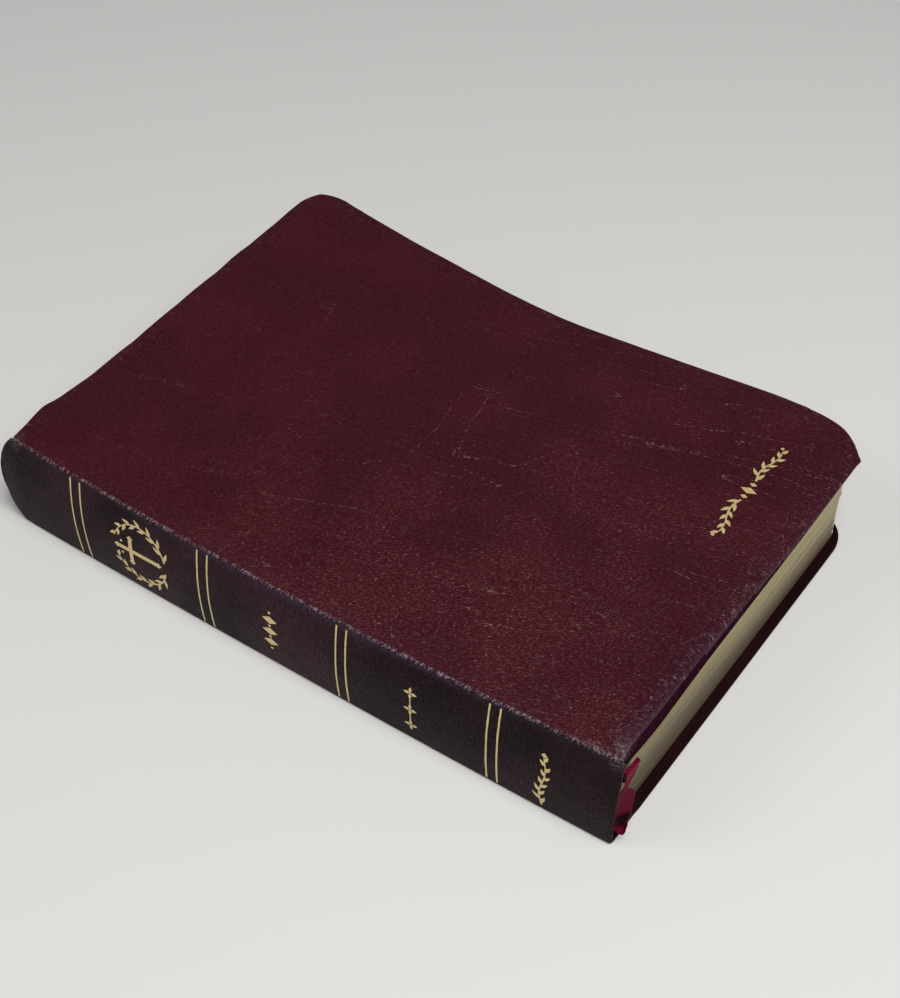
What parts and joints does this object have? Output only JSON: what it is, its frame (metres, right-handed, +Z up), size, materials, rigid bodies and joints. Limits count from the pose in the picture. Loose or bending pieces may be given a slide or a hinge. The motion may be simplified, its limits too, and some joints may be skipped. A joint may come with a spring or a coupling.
{
  "type": "study bible",
  "caption": "Limp leather study bible lying closed: opens at its spine, both covers hinge, single leaves turn, ribbon marker in the gutter.",
  "frame": {"origin": "under the middle of the closed book, on the surface it lies on", "axes": "+X from the spine to the fore edge, +Y from the tail to the head, +Z up out of the front cover"},
  "size_m": [0.17, 0.2452, 0.0533],
  "materials": {
    "leather": "burgundy bonded leather, fine pebbled grain, worn semi-gloss",
    "board": "grey-brown binder's card",
    "endpaper": "matt cream endpaper",
    "kraft_paper": "brown lining paper",
    "mull": "open-weave cotton gauze",
    "thread": "waxed linen thread",
    "headband": "striped woven headband",
    "pages": "thin bible paper with pale gilt edges",
    "ribbon": "crimson satin"
  },
  "bodies": {
    "rear_half": {"cover_leather_spine": "leather", "spine_liner": "board", "spine_lining_paper": "kraft_paper", "mull": "mull", "sewing_thread_1": "thread", "sewing_thread_2": "thread", "sewing_thread_3": "thread", "sewing_thread_4": "thread", "sewing_thread_5": "thread", "sewing_thread_6": "thread", "headband_head": "headband", "headband_tail": "headband", "section_10": "pages", "section_11": "pages", "section_12": "pages", "section_13": "pages", "section_14": "pages", "section_15": "pages", "section_16": "pages", "section_17": "pages", "section_18": "pages", "section_19": "pages", "section_20": "pages", "section_21": "pages", "section_22": "pages", "ribbon_marker": "ribbon"},
    "front_half": {"section_01": "pages", "section_02": "pages", "section_03": "pages", "section_04": "pages", "section_05": "pages", "section_06": "pages", "section_07": "pages", "section_08": "pages", "section_09": "pages"},
    "front_cover": {"cover_leather_front": "leather", "front_board": "board", "front_pastedown": "endpaper"},
    "back_cover": {"cover_leather_back": "leather", "back_board": "board", "back_pastedown": "endpaper"},
    "front_flyleaf": {"front_flyleaf": "endpaper"},
    "back_flyleaf": {"back_flyleaf": "endpaper"},
    "leaf_1": {"leaf_1": "pages"},
    "leaf_2": {"leaf_2": "pages"},
    "leaf_3": {"leaf_3": "pages"},
    "leaf_4": {"leaf_4": "pages"},
    "leaf_5": {"leaf_5": "pages"}
  },
  "joints": [
    {"name": "front_half_turn", "type": "hinge", "parent": "rear_half", "child": "front_half", "pos_m": [-0.085, 0, 0.0195], "axis": [0, -1, 0], "range_deg": [0, 175], "deforming": ["cover_leather_spine", "spine_liner", "spine_lining_paper", "mull", "sewing_thread_1", "sewing_thread_2", "sewing_thread_3", "sewing_thread_4", "sewing_thread_5", "sewing_thread_6", "headband_head", "headband_tail"]},
    {"name": "front_cover_hinge", "type": "hinge", "parent": "front_half", "child": "front_cover", "pos_m": [-0.079, 0, 0.0393], "axis": [0, -1, 0], "range_deg": [0, 175]},
    {"name": "back_cover_hinge", "type": "hinge", "parent": "rear_half", "child": "back_cover", "pos_m": [-0.079, 0, -0.0008], "axis": [0, 1, 0], "range_deg": [0, 180]},
    {"name": "front_flyleaf_turn", "type": "hinge", "parent": "front_half", "child": "front_flyleaf", "pos_m": [-0.081, 0, 0.0359], "axis": [0, -1, 0], "range_deg": [0, 4.5]},
    {"name": "back_flyleaf_turn", "type": "hinge", "parent": "rear_half", "child": "back_flyleaf", "pos_m": [-0.081, 0, 0.0031], "axis": [0, 1, 0], "range_deg": [0, 4.5]},
    {"name": "leaf_1_turn", "type": "hinge", "parent": "rear_half", "child": "leaf_1", "pos_m": [-0.085, 0, 0.0195], "axis": [0, -1, 0], "range_deg": [0, 30]},
    {"name": "leaf_2_turn", "type": "hinge", "parent": "rear_half", "child": "leaf_2", "pos_m": [-0.085, 0, 0.0195], "axis": [0, -1, 0], "range_deg": [0, 60]},
    {"name": "leaf_3_turn", "type": "hinge", "parent": "rear_half", "child": "leaf_3", "pos_m": [-0.085, 0, 0.0195], "axis": [0, -1, 0], "range_deg": [0, 95]},
    {"name": "leaf_4_turn", "type": "hinge", "parent": "rear_half", "child": "leaf_4", "pos_m": [-0.085, 0, 0.0195], "axis": [0, -1, 0], "range_deg": [0, 130]},
    {"name": "leaf_5_turn", "type": "hinge", "parent": "rear_half", "child": "leaf_5", "pos_m": [-0.085, 0, 0.0195], "axis": [0, -1, 0], "range_deg": [0, 160]}
  ],
  "couplings": [
    {"joint": "front_flyleaf_turn", "follows": "front_cover_hinge", "ratio": 0.025},
    {"joint": "back_flyleaf_turn", "follows": "back_cover_hinge", "ratio": 0.025},
    {"joint": "leaf_1_turn", "follows": "front_half_turn", "ratio": 0.15},
    {"joint": "leaf_2_turn", "follows": "front_half_turn", "ratio": 0.32},
    {"joint": "leaf_3_turn", "follows": "front_half_turn", "ratio": 0.52},
    {"joint": "leaf_4_turn", "follows": "front_half_turn", "ratio": 0.7},
    {"joint": "leaf_5_turn", "follows": "front_half_turn", "ratio": 0.86}
  ]
}
